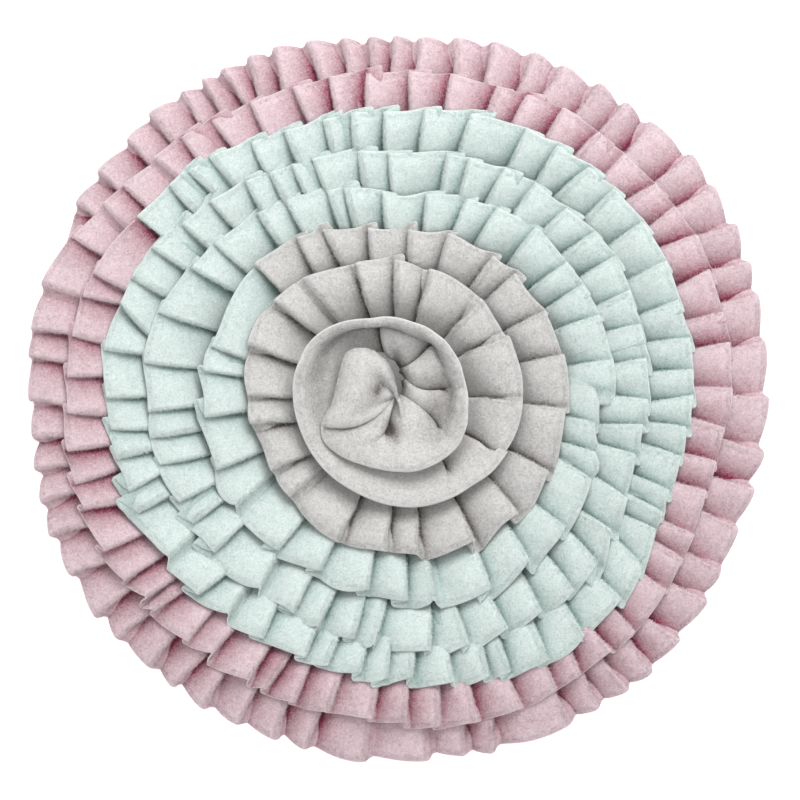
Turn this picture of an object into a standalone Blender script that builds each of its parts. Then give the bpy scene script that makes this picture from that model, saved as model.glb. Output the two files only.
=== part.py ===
"""Snuffle mat: knife-pleated fleece strips sewn in a spiral on a round base cloth.

The strips wind clockwise, seen from above, from the rim to a small bowl of
folds in the middle. Every pleat is a Z of three layers: its crease lies on
top, and its far end is tucked under the next crease. The origin is at the
middle of the base's underside, +Z up and +Y towards clock angle 0.
"""

import math
import random

import bpy
from mathutils import Vector

MM = 0.001

# Sheets, in millimetres
FLEECE = 2.0
BASE_THICKNESS = 3.0
BASE_RADIUS = 163.0
BASE_SIDES = 72
SEAM_GAP = 0.4

# Pleats: the most that a fold reaches under the next crease, in millimetres,
# as a share of the free edge's radius and as a share of the next pleat; and
# how far the middle of a panel bows up
TUCK = 5.0
TUCK_OF_RADIUS = 0.08
TUCK_OF_PLEAT = 0.45
CAMBER = 0.5
# The widest step along a panel, in degrees; how sharp a fold's outside gets,
# in half thicknesses; and its inside, as a share of the shorter layer
PANEL_STEP = 14.0
CORNER_LIMIT = 1.3
CORNER_ROOM = 0.6
# Unevenness from pleat to pleat, in millimetres, and as a share of the tuck
EDGE_JITTER = 1.2
LIFT_JITTER = 0.4
TUCK_JITTER = 0.2
SEED = 11

# Where a turn of the spiral starts, and the clock angles between the columns
# of EDGE_RADII
TURN_START = 300.0
COLUMN_STEP = 30.0

# Radius of the free edge in millimetres: a row for each turn, a column for
# each clock angle, from the turn's start
EDGE_RADII = (
    # 300    330    0      30     60     90     120    150    180    210    240    270
    (195.0, 193.0, 186.0, 191.5, 195.0, 190.5, 190.0, 190.5, 188.0, 190.0, 193.5, 191.0),
    (184.0, 171.5, 168.0, 171.0, 173.5, 171.0, 168.5, 170.0, 169.0, 166.5, 172.0, 172.0),
    (166.0, 152.0, 147.5, 152.5, 154.0, 150.0, 149.0, 155.0, 144.0, 143.0, 146.0, 151.0),
    (148.5, 133.0, 125.5, 129.5, 131.5, 127.0, 128.5, 132.5, 129.5, 123.0, 125.0, 129.0),
    (127.0, 117.0, 104.0, 109.5, 110.5, 108.0, 106.0, 109.0, 104.5, 98.5, 103.0, 100.0),
    (100.0, 96.5, 86.0, 86.5, 86.0, 85.5, 87.0, 84.0, 80.5, 79.5, 76.0, 78.5),
    (82.0, 75.0, 68.0, 65.0, 63.0, 63.0, 61.5, 58.0, 56.0, 53.5, 53.5, 54.5),
    (54.0, 45.5, 40.0, 37.0, 35.5, 35.0, 37.5, 38.5, 38.0, 39.5, 45.0, 35.0),
    (34.0, 36.0),
)

# The strip's slope at points along the spiral, in turns from its start: how
# far the free edge reaches out from the sewn edge, how far the sewn edge is
# lifted off the base, the heights of the strip's middle and of its free
# edge, and half the height of a pleat
SLOPES = (
    # turns  reach  lift  middle  free   fold
    (-0.05, 20.0, 0.0, 6.6, 5.0, 2.3),
    (0.06, 30.0, 0.0, 7.4, 5.2, 2.5),
    (0.12, 38.0, 0.0, 7.8, 5.6, 2.5),
    (0.80, 38.0, 0.0, 7.8, 5.8, 2.5),
    (0.93, 37.0, 0.0, 14.8, 13.6, 2.5),
    (1.10, 36.0, 0.0, 15.5, 15.5, 2.5),
    (1.80, 35.0, 0.0, 15.8, 17.0, 2.5),
    (1.93, 34.5, 0.0, 16.2, 22.6, 2.5),
    (2.10, 34.0, 0.0, 16.5, 23.8, 2.5),
    (4.00, 33.0, 0.0, 16.8, 26.0, 2.6),
    (5.50, 33.0, 0.0, 17.5, 27.5, 2.6),
    (6.33, 36.0, 0.0, 20.0, 31.0, 2.8),
    (6.90, 34.0, 0.0, 20.5, 32.5, 2.4),
    (7.17, 32.5, 2.0, 22.0, 36.0, 2.0),
    (7.33, 28.5, 2.5, 22.0, 37.0, 1.8),
    (7.67, 31.0, 3.0, 23.0, 37.0, 1.8),
    (7.83, 37.0, 4.0, 25.0, 35.5, 1.8),
    (7.92, 28.0, 6.0, 25.0, 31.5, 1.6),
    (8.15, 28.0, 6.0, 25.0, 32.0, 1.6),
)

# The creases: a row for each sixth of a turn, with the clock angle at which
# the sixth starts and how far past it each crease lies, in degrees
CREASES = (
    # turn, from, creases past it
    (0, 300, (0.5, 6.3, 13, 18.2, 23.8, 27.8, 31.3, 35.3, 39.5, 45.3, 50.6, 54.8, 58.7)),
    (0, 0, (2.8, 8.8, 14.5, 20.8, 25.6, 32, 37.2, 42.3, 50, 55.8)),
    (0, 60, (2.2, 8.3, 13.7, 21.3, 29.8, 38, 44.3, 51, 58.3)),
    (0, 120, (3.8, 11.2, 17, 22, 26.7, 32, 44.3, 49, 55)),
    (0, 180, (5, 14.4, 19.8, 26, 32, 37.5, 42.6, 49, 54)),
    (0, 240, (1, 7.7, 13.3, 18.3, 23.3, 29, 36, 40.5, 47, 55.8)),
    (1, 300, (2, 7.2, 14, 19.8, 26, 33, 41.2, 47.5, 53.8)),
    (1, 0, (1.8, 9, 17.3, 22.7, 29.5, 36.5, 42.8, 49.8, 55.6)),
    (1, 60, (1, 8, 15.3, 20.8, 28.4, 35, 41.5, 47.2, 55.2, 59.7)),
    (1, 120, (6, 14.9, 20.3, 26.5, 31.6, 38.6, 46.4, 52.8, 58.6)),
    (1, 180, (4.6, 12.3, 18.8, 24, 27.8, 35.8, 41, 48.5, 51.3, 56.2)),
    (1, 240, (2.3, 10, 15.2, 20.8, 27, 33.8, 40.5, 48, 51.8)),
    (2, 300, (12.3, 17.2, 21.7, 29.5, 36.5, 44.5, 50, 56.7)),
    (2, 0, (4.8, 14, 25.3, 32.2, 38.9, 45.9, 54.2)),
    (2, 60, (3, 11, 18.3, 24.7, 30.3, 36, 41.7, 49, 53.5, 57.6)),
    (2, 120, (4.3, 12.3, 22, 30.2, 38, 42, 49.2, 57)),
    (2, 180, (2.5, 7.8, 14.8, 19.9, 30, 38, 45.2, 55)),
    (2, 240, (6.5, 11.4, 17.8, 23.3, 30, 39.3, 46.8, 53.7)),
    (3, 300, (1, 8.3, 15.8, 24, 29.6, 35, 40, 50.3, 57.5)),
    (3, 0, (11.2, 16.3, 24.4, 32.2, 41.2, 49.4, 56.8)),
    (3, 60, (5.3, 13, 21.3, 30.4, 37, 43.7, 53.4)),
    (3, 120, (2.2, 9.6, 17.8, 26.2, 35.3, 44.5, 52.6)),
    (3, 180, (5, 10.5, 19, 26.3, 36, 50.5, 59)),
    (3, 240, (4.7, 14, 20.7, 27, 37.8, 49.5)),
    (4, 300, (2, 9.5, 22, 29.7, 40.6, 45, 55.2)),
    (4, 0, (7.7, 18.4, 26.9, 38.8, 51, 58.6)),
    (4, 60, (7.4, 20, 37.4, 45.8, 52.7)),
    (4, 120, (8.4, 21, 34.2, 49.5, 58)),
    (4, 180, (9.5, 24.5, 38.5, 56)),
    (4, 240, (8.5, 24.5, 37.5, 44.8)),
    (5, 300, (26.7, 35.5, 48.9)),
    (5, 0, (3.2, 16.6, 33.3, 42.8, 59)),
    (5, 60, (15.3, 34, 56.5)),
    (5, 120, (14, 32.3, 52.5)),
    (5, 180, (4.5, 22.4, 47, 59)),
    (5, 240, (18.5, 30, 48.5)),
    (6, 300, (7, 20, 41, 57.5)),
    (6, 0, (12.5, 38.7, 59)),
    (6, 60, (31.5,)),
    (6, 240, (10,)),
    (7, 300, (46,)),
    (7, 0, (30,)),
    (7, 120, (11,)),
    (7, 180, (20,)),
    (7, 240, (8,)),
)

# The cut strips: where each starts and ends on the spiral, and its colour
STRIPS = (
    # node, start (turn, clock angle), end (turn, clock angle), colour
    ("pink_ruffle", (-1, 294.0), (2, 303.7), "pink"),
    ("mint_ruffle", (2, 304.2), (4, 86.3), "mint"),
    ("mint_ruffle_inner", (4, 86.7), (5, 311.6), "mint"),
    ("grey_ruffle", (5, 312.0), (6, 118.6), "grey"),
    ("grey_rosette", (6, 119.8), (8, 333.0), "grey"),
)

COLOURS = {
    "pink": (0.69, 0.50, 0.55, 1.0),
    "mint": (0.64, 0.72, 0.70, 1.0),
    "grey": (0.55, 0.54, 0.53, 1.0),
}
FLEECE_ROUGHNESS = 0.95

# Across its width, a strip has three stations: sewn edge, middle and free edge
STATIONS = 3
CORNERS = 2 * STATIONS


def clear_scene():
    for obj in list(bpy.data.objects):
        bpy.data.objects.remove(obj, do_unlink=True)


def travel(turn, clock):
    """Degrees wound since the start of the first turn."""
    return 360.0 * turn + (clock - TURN_START) % 360.0


def smooth_between(values, position):
    """Catmull-Rom curve through evenly spaced values."""
    position = min(max(position, 0.0), len(values) - 1.0)
    low = min(int(position), len(values) - 2)
    share = position - low
    before = values[max(low - 1, 0)]
    start = values[low]
    end = values[low + 1]
    after = values[min(low + 2, len(values) - 1)]
    return start + 0.5 * share * (
        end - before
        + share * (2 * before - 5 * start + 4 * end - after
                   + share * (3 * (start - end) + after - before))
    )


def edge_radius(angle):
    radii = [radius for row in EDGE_RADII for radius in row]
    return smooth_between(radii, angle / COLUMN_STEP)


def slope_at(angle):
    """The row of SLOPES for a place on the spiral, blended between its neighbours."""
    turns = angle / 360.0
    for low, high in zip(SLOPES, SLOPES[1:]):
        if turns <= high[0]:
            break
    share = min(max((turns - low[0]) / (high[0] - low[0]), 0.0), 1.0)
    return [a + share * (b - a) for a, b in zip(low[1:], high[1:])]


def section(angle, reach_out, lift):
    """Radius, height and slope of the strip's middle surface at each station."""
    reach, sewn_lift, middle, free, fold = slope_at(angle)
    outer = edge_radius(angle)
    radii = (outer - reach, outer - reach / 2, outer + reach_out)
    bed = BASE_THICKNESS + SEAM_GAP + sewn_lift
    stack = fold + FLEECE / 2
    lean = math.atan2(middle - bed - stack, reach / 2)
    heights = (bed + stack * math.cos(lean), middle, free + lift)
    slopes = []
    for place in range(STATIONS):
        before = max(place - 1, 0)
        after = min(place + 1, STATIONS - 1)
        slopes.append(math.atan2(heights[after] - heights[before], radii[after] - radii[before]))
    return list(zip(radii, heights, slopes))


def creases_between(start, end):
    """Crease angles strictly inside a strip, in winding order."""
    angles = [travel(turn, clock) + past for turn, clock, row in CREASES for past in row]
    return [angle for angle in sorted(angles) if start < angle < end]


def pleat_columns(start, end, rng):
    """The strip as columns: angle, height in its fold, edge jitter and lift."""
    starts = [start] + creases_between(start, end)
    columns = []
    for index, crease in enumerate(starts):
        next_crease, after = (starts + [end, end])[index + 1:index + 3]
        radius = edge_radius(next_crease)
        deepest = min(TUCK, TUCK_OF_RADIUS * radius) * rng.uniform(1.0 - TUCK_JITTER, 1.0)
        tuck = min(math.degrees(deepest / radius), TUCK_OF_PLEAT * (after - next_crease))
        fold_end = next_crease + tuck
        reach_out = rng.uniform(-EDGE_JITTER, EDGE_JITTER)
        lift = rng.uniform(-LIFT_JITTER, LIFT_JITTER)
        steps = max(2, math.ceil((fold_end - crease) / PANEL_STEP))
        for step in range(steps + 1):
            share = step / steps
            rise = (1.0 - 2.0 * share) * slope_at(crease)[4] + CAMBER * math.sin(math.pi * share)
            columns.append((crease + share * (fold_end - crease), rise, reach_out, lift))
    return columns


def offset_corner(before, after, side):
    """Offset of a fold line's corner by half the cloth, on one side of it.

    before and after are the vectors to and from the corner, or None at an end.
    """
    half = FLEECE / 2
    arms = [arm for arm in (before, after) if arm is not None]
    normals = [Vector((-arm.y, arm.x)).normalized() for arm in arms]
    if len(arms) == 1:
        return side * half * normals[0]
    middle = (normals[0] + normals[1]).normalized()
    reach = half / middle.dot(normals[0])
    turns_left = normals[0].x * normals[1].y > normals[0].y * normals[1].x
    if turns_left == (side < 0.0):
        reach = min(reach, half * CORNER_LIMIT)
    else:
        reach = min(reach, CORNER_ROOM * min(arm.length for arm in arms))
    return side * reach * middle


def point_on_mat(angle, radius, height):
    turn = math.radians(TURN_START + angle)
    return (radius * math.sin(turn) * MM, radius * math.cos(turn) * MM, height * MM)


def arm_between(start, end, place):
    """Flat vector along the folded cloth from one column to another."""
    radius = (start["section"][place][0] + end["section"][place][0]) / 2
    run = math.radians(end["angle"] - start["angle"]) * radius
    return Vector((run, end["rise"] - start["rise"]))


def strip_points(columns):
    """Six points a column: over and under the cloth at each station."""
    folds = [
        {"angle": angle, "rise": rise, "section": section(angle, reach_out, lift)}
        for angle, rise, reach_out, lift in columns
    ]
    points = []
    for index, fold in enumerate(folds):
        for place, (radius, height, slope) in enumerate(fold["section"]):
            before = arm_between(folds[index - 1], fold, place) if index > 0 else None
            after = arm_between(fold, folds[index + 1], place) if index + 1 < len(folds) else None
            for side in (1.0, -1.0):
                shift = offset_corner(before, after, side)
                level = fold["rise"] + shift.y
                angle = fold["angle"] + math.degrees(shift.x / radius)
                outward = radius - level * math.sin(slope)
                points.append(point_on_mat(angle, outward, height + level * math.cos(slope)))
    return points


def strip_faces(points):
    """Faces round and along the columns, and a cap of two faces at each end."""
    ring = (0, 2, 4, 5, 3, 1)
    cap = ((0, 1, 3, 2), (2, 3, 5, 4))
    last = len(points) - CORNERS
    faces = [tuple(reversed(quad)) for quad in cap]
    faces += [tuple(last + corner for corner in quad) for quad in cap]
    for here in range(0, last, CORNERS):
        for a, b in zip(ring, ring[1:] + ring[:1]):
            faces.append((here + a, here + CORNERS + a, here + CORNERS + b, here + b))
    return faces


def fleece_material(colour):
    name = f"{colour}_fleece"
    if name in bpy.data.materials:
        return bpy.data.materials[name]
    material = bpy.data.materials.new(name)
    material.use_nodes = True
    shader = material.node_tree.nodes["Principled BSDF"]
    shader.inputs["Base Color"].default_value = COLOURS[colour]
    shader.inputs["Roughness"].default_value = FLEECE_ROUGHNESS
    shader.inputs["Metallic"].default_value = 0.0
    return material


def add_object(name, points, faces, material):
    mesh = bpy.data.meshes.new(name)
    mesh.from_pydata(points, [], faces)
    mesh.materials.append(material)
    mesh.update()
    obj = bpy.data.objects.new(name, mesh)
    bpy.context.scene.collection.objects.link(obj)
    return obj


def build_strip(name, start, end, colour, rng):
    points = strip_points(pleat_columns(travel(*start), travel(*end), rng))
    return add_object(name, points, strip_faces(points), fleece_material(colour))


def build_base():
    """Round base cloth that the strips are sewn to."""
    turns = [math.tau * side / BASE_SIDES for side in range(BASE_SIDES)]
    points = [
        (BASE_RADIUS * math.cos(turn) * MM, BASE_RADIUS * math.sin(turn) * MM, height * MM)
        for height in (0.0, BASE_THICKNESS)
        for turn in turns
    ]
    faces = [tuple(reversed(range(BASE_SIDES))), tuple(range(BASE_SIDES, 2 * BASE_SIDES))]
    for side in range(BASE_SIDES):
        following = (side + 1) % BASE_SIDES
        faces.append((side, following, BASE_SIDES + following, BASE_SIDES + side))
    return add_object("base_cloth", points, faces, fleece_material("grey"))


def main():
    clear_scene()
    rng = random.Random(SEED)
    build_base()
    for name, start, end, colour in STRIPS:
        build_strip(name, start, end, colour, rng)


main()
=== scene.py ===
"""Looks of a snuffle mat: fleece strips, knife-pleated and sewn in a spiral.

Each strip is a closed sheet with its pleats modelled one by one: a panel, the
loop at its far end, the layer that runs back under the next panel, and the
crease on top. Towards the free edge a pleat opens into a wave. Lengths are in
millimetres and become metres when a mesh is made; angles are in degrees,
clockwise from +Y.
"""

import math
import random
import bpy
import numpy as np
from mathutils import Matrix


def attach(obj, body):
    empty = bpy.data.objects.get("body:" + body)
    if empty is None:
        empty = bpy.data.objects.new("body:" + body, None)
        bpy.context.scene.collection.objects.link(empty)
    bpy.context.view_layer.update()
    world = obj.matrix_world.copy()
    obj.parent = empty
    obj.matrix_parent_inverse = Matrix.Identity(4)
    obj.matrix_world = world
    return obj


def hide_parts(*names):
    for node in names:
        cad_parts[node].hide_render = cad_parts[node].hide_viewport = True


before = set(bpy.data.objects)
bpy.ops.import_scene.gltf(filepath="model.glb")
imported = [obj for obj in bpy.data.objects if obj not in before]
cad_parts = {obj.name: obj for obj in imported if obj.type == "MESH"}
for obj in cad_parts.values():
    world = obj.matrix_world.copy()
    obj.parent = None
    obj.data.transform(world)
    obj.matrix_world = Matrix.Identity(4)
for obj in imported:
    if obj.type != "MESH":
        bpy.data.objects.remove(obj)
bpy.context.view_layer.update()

MM = 0.001

# ---- The spiral ----

TURN_START = 300.0
COLUMN_STEP = 10.0
BASE_THICKNESS = 3.0
BASE_RADIUS = 163.0
SEAM_GAP = 0.4

# Radius of the free edge every ten degrees: three lines for each turn, from
# clock angles 300, 60 and 180
EDGE_RADII = (
    (196, 194, 195, 192.5, 192, 188.5, 186, 188.5, 191, 191.5, 191.5, 196,
     195.5, 193, 191, 190.5, 190, 188, 190, 191.5, 192.5, 190.5, 191.5, 188,
     188, 189.5, 187.5, 190, 190, 193, 193.5, 193.5, 191, 191, 193.5, 193),
    (185, 178, 175, 171.5, 170, 168.5, 168, 168.5, 168.5, 171, 170.5, 171.5,
     173.5, 172.5, 172.5, 171, 166.5, 166.5, 168.5, 171, 171.5, 170, 173, 171.5,
     169, 166.5, 167, 166.5, 167, 169, 172, 173.5, 173.5, 172, 172, 170.5),
    (166.5, 162, 158.5, 152, 148.5, 148, 147.5, 149.5, 151.5, 152.5, 153.5, 154,
     154, 152.5, 152, 150, 148, 147, 149, 154.5, 155, 155.5, 151.5, 150,
     144, 145, 143.5, 143, 144.5, 146.5, 146, 148, 149, 151.5, 154, 151.5),
    (149.5, 143, 138, 133, 129.5, 128.5, 125.5, 127.5, 128, 129.5, 128.5, 131.5,
     131.5, 129.5, 128, 127, 125, 126.5, 128.5, 133, 134.5, 132.5, 132.5, 133.5,
     129.5, 127.5, 126, 123, 124.5, 124, 125, 127.5, 129.5, 129, 133, 131.5),
    (127, 124, 120, 117, 112.5, 109.5, 103.5, 106.5, 108.5, 109.5, 111.5, 110,
     110.5, 110.5, 110.5, 107.5, 104.5, 107.5, 106, 108.5, 107, 109, 108.5, 107,
     104.5, 99.5, 99, 98.5, 101, 101, 103, 101, 101, 100, 102, 99.5),
    (100.5, 101.5, 99, 96.5, 92, 87.5, 86, 87, 88.5, 86.5, 87, 86,
     86, 86, 86, 85.5, 85, 85, 87, 87, 83.5, 84, 83.5, 83,
     80.5, 79.5, 81, 79.5, 77.5, 76, 75.5, 74.5, 78, 78.5, 81.5, 82),
    (83, 80, 78.5, 75, 72.5, 71, 69.5, 67, 66.5, 65.5, 65, 63,
     63, 62.5, 63, 63, 63, 62.5, 61.5, 60.5, 58.5, 58, 57.5, 57,
     56, 55, 54, 53.5, 53.5, 53.5, 53.5, 53.5, 54, 54.5, 55, 54.5),
    (54, 52, 49, 45.5, 42.5, 41.5, 40, 38.5, 38, 37, 36.5, 35.5,
     35, 34, 34, 34.5, 35, 36.5, 37.5, 38.5, 38.5, 38.5, 38.5, 38.5,
     38, 38, 38.5, 39.5, 41.5, 43.5, 45, 43, 36.5, 33.5, 33, 33),
    (34, 35.5, 32.5, 27, 18),
)

# The ruffles' slope along the spiral: reach of the free edge from the sewn
# edge, heights of the middle and the free edge, and half a pleat's height
SLOPES = (
    # turns  reach  middle free  fold
    (-0.05, 20.0, 6.6, 5.0, 1.9),
    (0.06, 30.0, 7.4, 5.2, 2.0),
    (0.12, 38.0, 8.4, 5.2, 2.1),
    (0.80, 38.0, 9.2, 4.4, 2.2),
    (0.93, 37.0, 14.4, 12.0, 2.1),
    (1.10, 36.0, 15.8, 13.8, 2.1),
    (1.62, 35.5, 16.0, 15.0, 2.1),
    (1.80, 35.0, 15.8, 16.6, 2.1),
    (1.93, 34.5, 17.2, 19.8, 1.9),
    (2.10, 34.0, 18.3, 20.9, 1.9),
    (4.00, 33.0, 19.2, 22.3, 1.9),
    (4.30, 33.0, 19.8, 22.0, 1.9),
    (5.00, 33.0, 19.8, 22.9, 1.9),
    (5.20, 33.0, 20.2, 23.4, 1.9),
    (6.00, 35.0, 23.4, 25.4, 2.0),
    (6.33, 36.0, 24.6, 26.4, 2.0),
    (6.60, 35.0, 23.0, 30.0, 1.9),
)

# The creases: a row for each sixth of a turn
CREASES = (
    # turn, from, creases past it
    (0, 300, (0.5, 6.3, 13, 18.2, 23.8, 27.8, 31.3, 35.3, 39.5, 45.3, 50.6, 54.8, 58.7)),
    (0, 0, (2.8, 8.8, 14.5, 20.8, 25.6, 32, 37.2, 42.3, 50, 55.8)),
    (0, 60, (2.2, 8.3, 13.7, 21.3, 29.8, 38, 44.3, 51, 58.3)),
    (0, 120, (3.8, 11.2, 17, 22, 26.7, 32, 44.3, 49, 55)),
    (0, 180, (5, 14.4, 19.8, 26, 32, 37.5, 42.6, 49, 54)),
    (0, 240, (1, 7.7, 13.3, 18.3, 23.3, 29, 36, 40.5, 47, 55.8)),
    (1, 300, (2, 7.2, 14, 19.8, 26, 33, 41.2, 47.5, 53.8)),
    (1, 0, (1.8, 9, 17.3, 22.7, 29.5, 36.5, 42.8, 49.8, 55.6)),
    (1, 60, (1, 8, 15.3, 20.8, 28.4, 35, 41.5, 47.2, 55.2, 59.7)),
    (1, 120, (6, 14.9, 20.3, 26.5, 31.6, 38.6, 46.4, 52.8, 58.6)),
    (1, 180, (4.6, 12.3, 18.8, 24, 27.8, 35.8, 41, 48.5, 51.3, 56.2)),
    (1, 240, (2.3, 10, 15.2, 20.8, 27, 33.8, 40.5, 48, 51.8)),
    (2, 300, (12.3, 17.2, 21.7, 29.5, 36.5, 44.5, 50, 56.7)),
    (2, 0, (4.8, 14, 25.3, 32.2, 38.9, 45.9, 54.2)),
    (2, 60, (3, 11, 18.3, 24.7, 30.3, 36, 41.7, 49, 53.5, 57.6)),
    (2, 120, (4.3, 12.3, 22, 30.2, 38, 42, 49.2, 57)),
    (2, 180, (2.5, 7.8, 14.8, 19.9, 30, 38, 45.2, 55)),
    (2, 240, (6.5, 11.4, 17.8, 23.3, 30, 39.3, 46.8, 53.7)),
    (3, 300, (1, 8.3, 15.8, 24, 29.6, 35, 40, 50.3, 57.5)),
    (3, 0, (11.2, 16.3, 24.4, 32.2, 41.2, 49.4, 56.8)),
    (3, 60, (5.3, 13, 21.3, 30.4, 37, 43.7, 53.4)),
    (3, 120, (2.2, 9.6, 17.8, 26.2, 35.3, 44.5, 52.6)),
    (3, 180, (5, 10.5, 19, 26.3, 36, 50.5, 59)),
    (3, 240, (4.7, 14, 20.7, 27, 37.8, 49.5)),
    (4, 300, (2, 9.5, 22, 29.7, 40.6, 45, 55.2)),
    (4, 0, (7.7, 18.4, 26.9, 38.8, 51, 58.6)),
    (4, 60, (7.4, 20, 37.4, 45.8, 52.7)),
    (4, 120, (8.4, 21, 34.2, 49.5, 58)),
    (4, 180, (9.5, 24.5, 38.5, 56)),
    (4, 240, (8.5, 24.5, 37.5, 44.8)),
    (5, 300, (26.7, 35.5, 48.9)),
    (5, 0, (3.2, 16.6, 33.3, 42.8, 59)),
    (5, 60, (15.3, 34, 56.5)),
    (5, 120, (14, 32.3, 52.5)),
    (5, 180, (4.5, 22.4, 47, 59)),
    (5, 240, (18.5, 30, 48.5)),
    (6, 300, (7, 20, 41, 57.5)),
    (6, 0, (12.5, 38.7, 59)),
    (6, 60, (31.5,)),
)

# How the ruffles' pleats lie: how far they open at the free edge, the height
# of the wave that they open into, how far the lower layers stick out past the
# upper ones, how far in the crests of an open edge lie, its bulge between two
# creases, and how deep the lower layers run back
HABITS = (
    # turns  open  wave  hook swerve bulge tuck
    (0.90, 1.00, 1.9, 0.0, -0.6, 0.5, 5.5),
    (1.00, 0.10, 1.8, 3.4, 0.5, 0.2, 11.0),
    (1.20, 0.10, 1.8, 3.4, 0.5, 0.0, 11.5),
    (1.35, 0.15, 1.8, 2.6, 0.5, 0.3, 10.0),
    (1.50, 0.55, 2.6, 2.0, 1.2, 0.8, 8.0),
    (1.66, 0.72, 3.2, 2.4, 2.2, 1.2, 9.0),
    (1.80, 0.75, 3.2, 2.6, 2.6, 1.4, 9.0),
    (1.88, 0.60, 2.8, 2.8, 1.8, 1.0, 8.5),
    (1.95, 0.25, 2.2, 2.8, 0.6, 0.6, 7.5),
    (2.02, 0.05, 1.8, 3.8, 0.6, 0.3, 11.5),
    (2.20, 0.05, 1.8, 3.6, 0.6, 0.0, 11.0),
    (2.35, 0.15, 1.5, 2.6, 0.5, 0.4, 9.5),
    (2.50, 0.35, 2.8, 3.6, 1.8, 1.2, 9.5),
    (2.62, 0.50, 3.6, 4.0, 2.4, 1.8, 11.0),
    (2.80, 0.50, 3.4, 3.8, 2.4, 1.8, 10.0),
    (2.92, 0.20, 2.0, 3.4, 0.8, 0.4, 8.0),
    (3.02, 0.08, 1.8, 3.8, 0.6, 0.3, 11.0),
    (3.20, 0.08, 1.8, 3.4, 0.6, 0.0, 10.5),
    (3.35, 0.15, 1.5, 2.6, 0.5, 0.4, 10.0),
    (3.50, 0.35, 3.0, 3.4, 1.8, 1.2, 9.5),
    (3.62, 0.48, 3.6, 3.8, 2.2, 1.6, 11.0),
    (3.80, 0.50, 3.4, 4.0, 2.4, 1.8, 10.0),
    (3.92, 0.20, 2.0, 3.2, 0.8, 0.4, 8.0),
    (4.05, 0.10, 1.8, 3.8, 0.8, 0.3, 10.0),
    (4.20, 0.15, 1.8, 3.4, 0.8, 0.0, 9.5),
    (4.35, 0.20, 1.5, 2.4, 0.5, 0.4, 8.5),
    (4.50, 0.42, 3.4, 3.6, 2.4, 2.4, 9.5),
    (4.65, 0.24, 4.2, 5.8, 2.8, 3.4, 12.0),
    (4.80, 0.30, 3.6, 4.8, 2.4, 2.8, 11.0),
    (4.95, 0.40, 2.0, 2.2, 0.8, 0.5, 6.5),
    (5.05, 0.20, 2.6, 4.2, 1.2, -0.6, 8.0),
    (5.25, 0.25, 2.6, 3.8, 1.2, -0.6, 8.0),
    (5.40, 0.55, 2.2, 1.6, 0.8, 0.5, 6.5),
    (5.52, 0.70, 5.4, 2.4, 4.2, 1.8, 8.5),
    (5.60, 0.75, 4.2, 1.4, 3.0, 1.4, 7.5),
    (5.70, 0.92, 2.0, 0.2, 0.5, 0.6, 6.5),
    (5.88, 0.98, 1.2, 0.0, 0.2, 0.3, 6.0),
    (6.00, 0.80, 1.8, 0.4, 0.5, 0.4, 6.0),
    (6.15, 0.92, 1.2, 0.0, 0.3, 0.3, 6.0),
    (6.40, 1.00, 0.8, 0.0, 0.1, 0.2, 6.0),
    (6.60, 0.95, 1.3, 0.0, 0.3, 0.5, 6.0),
)

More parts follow.
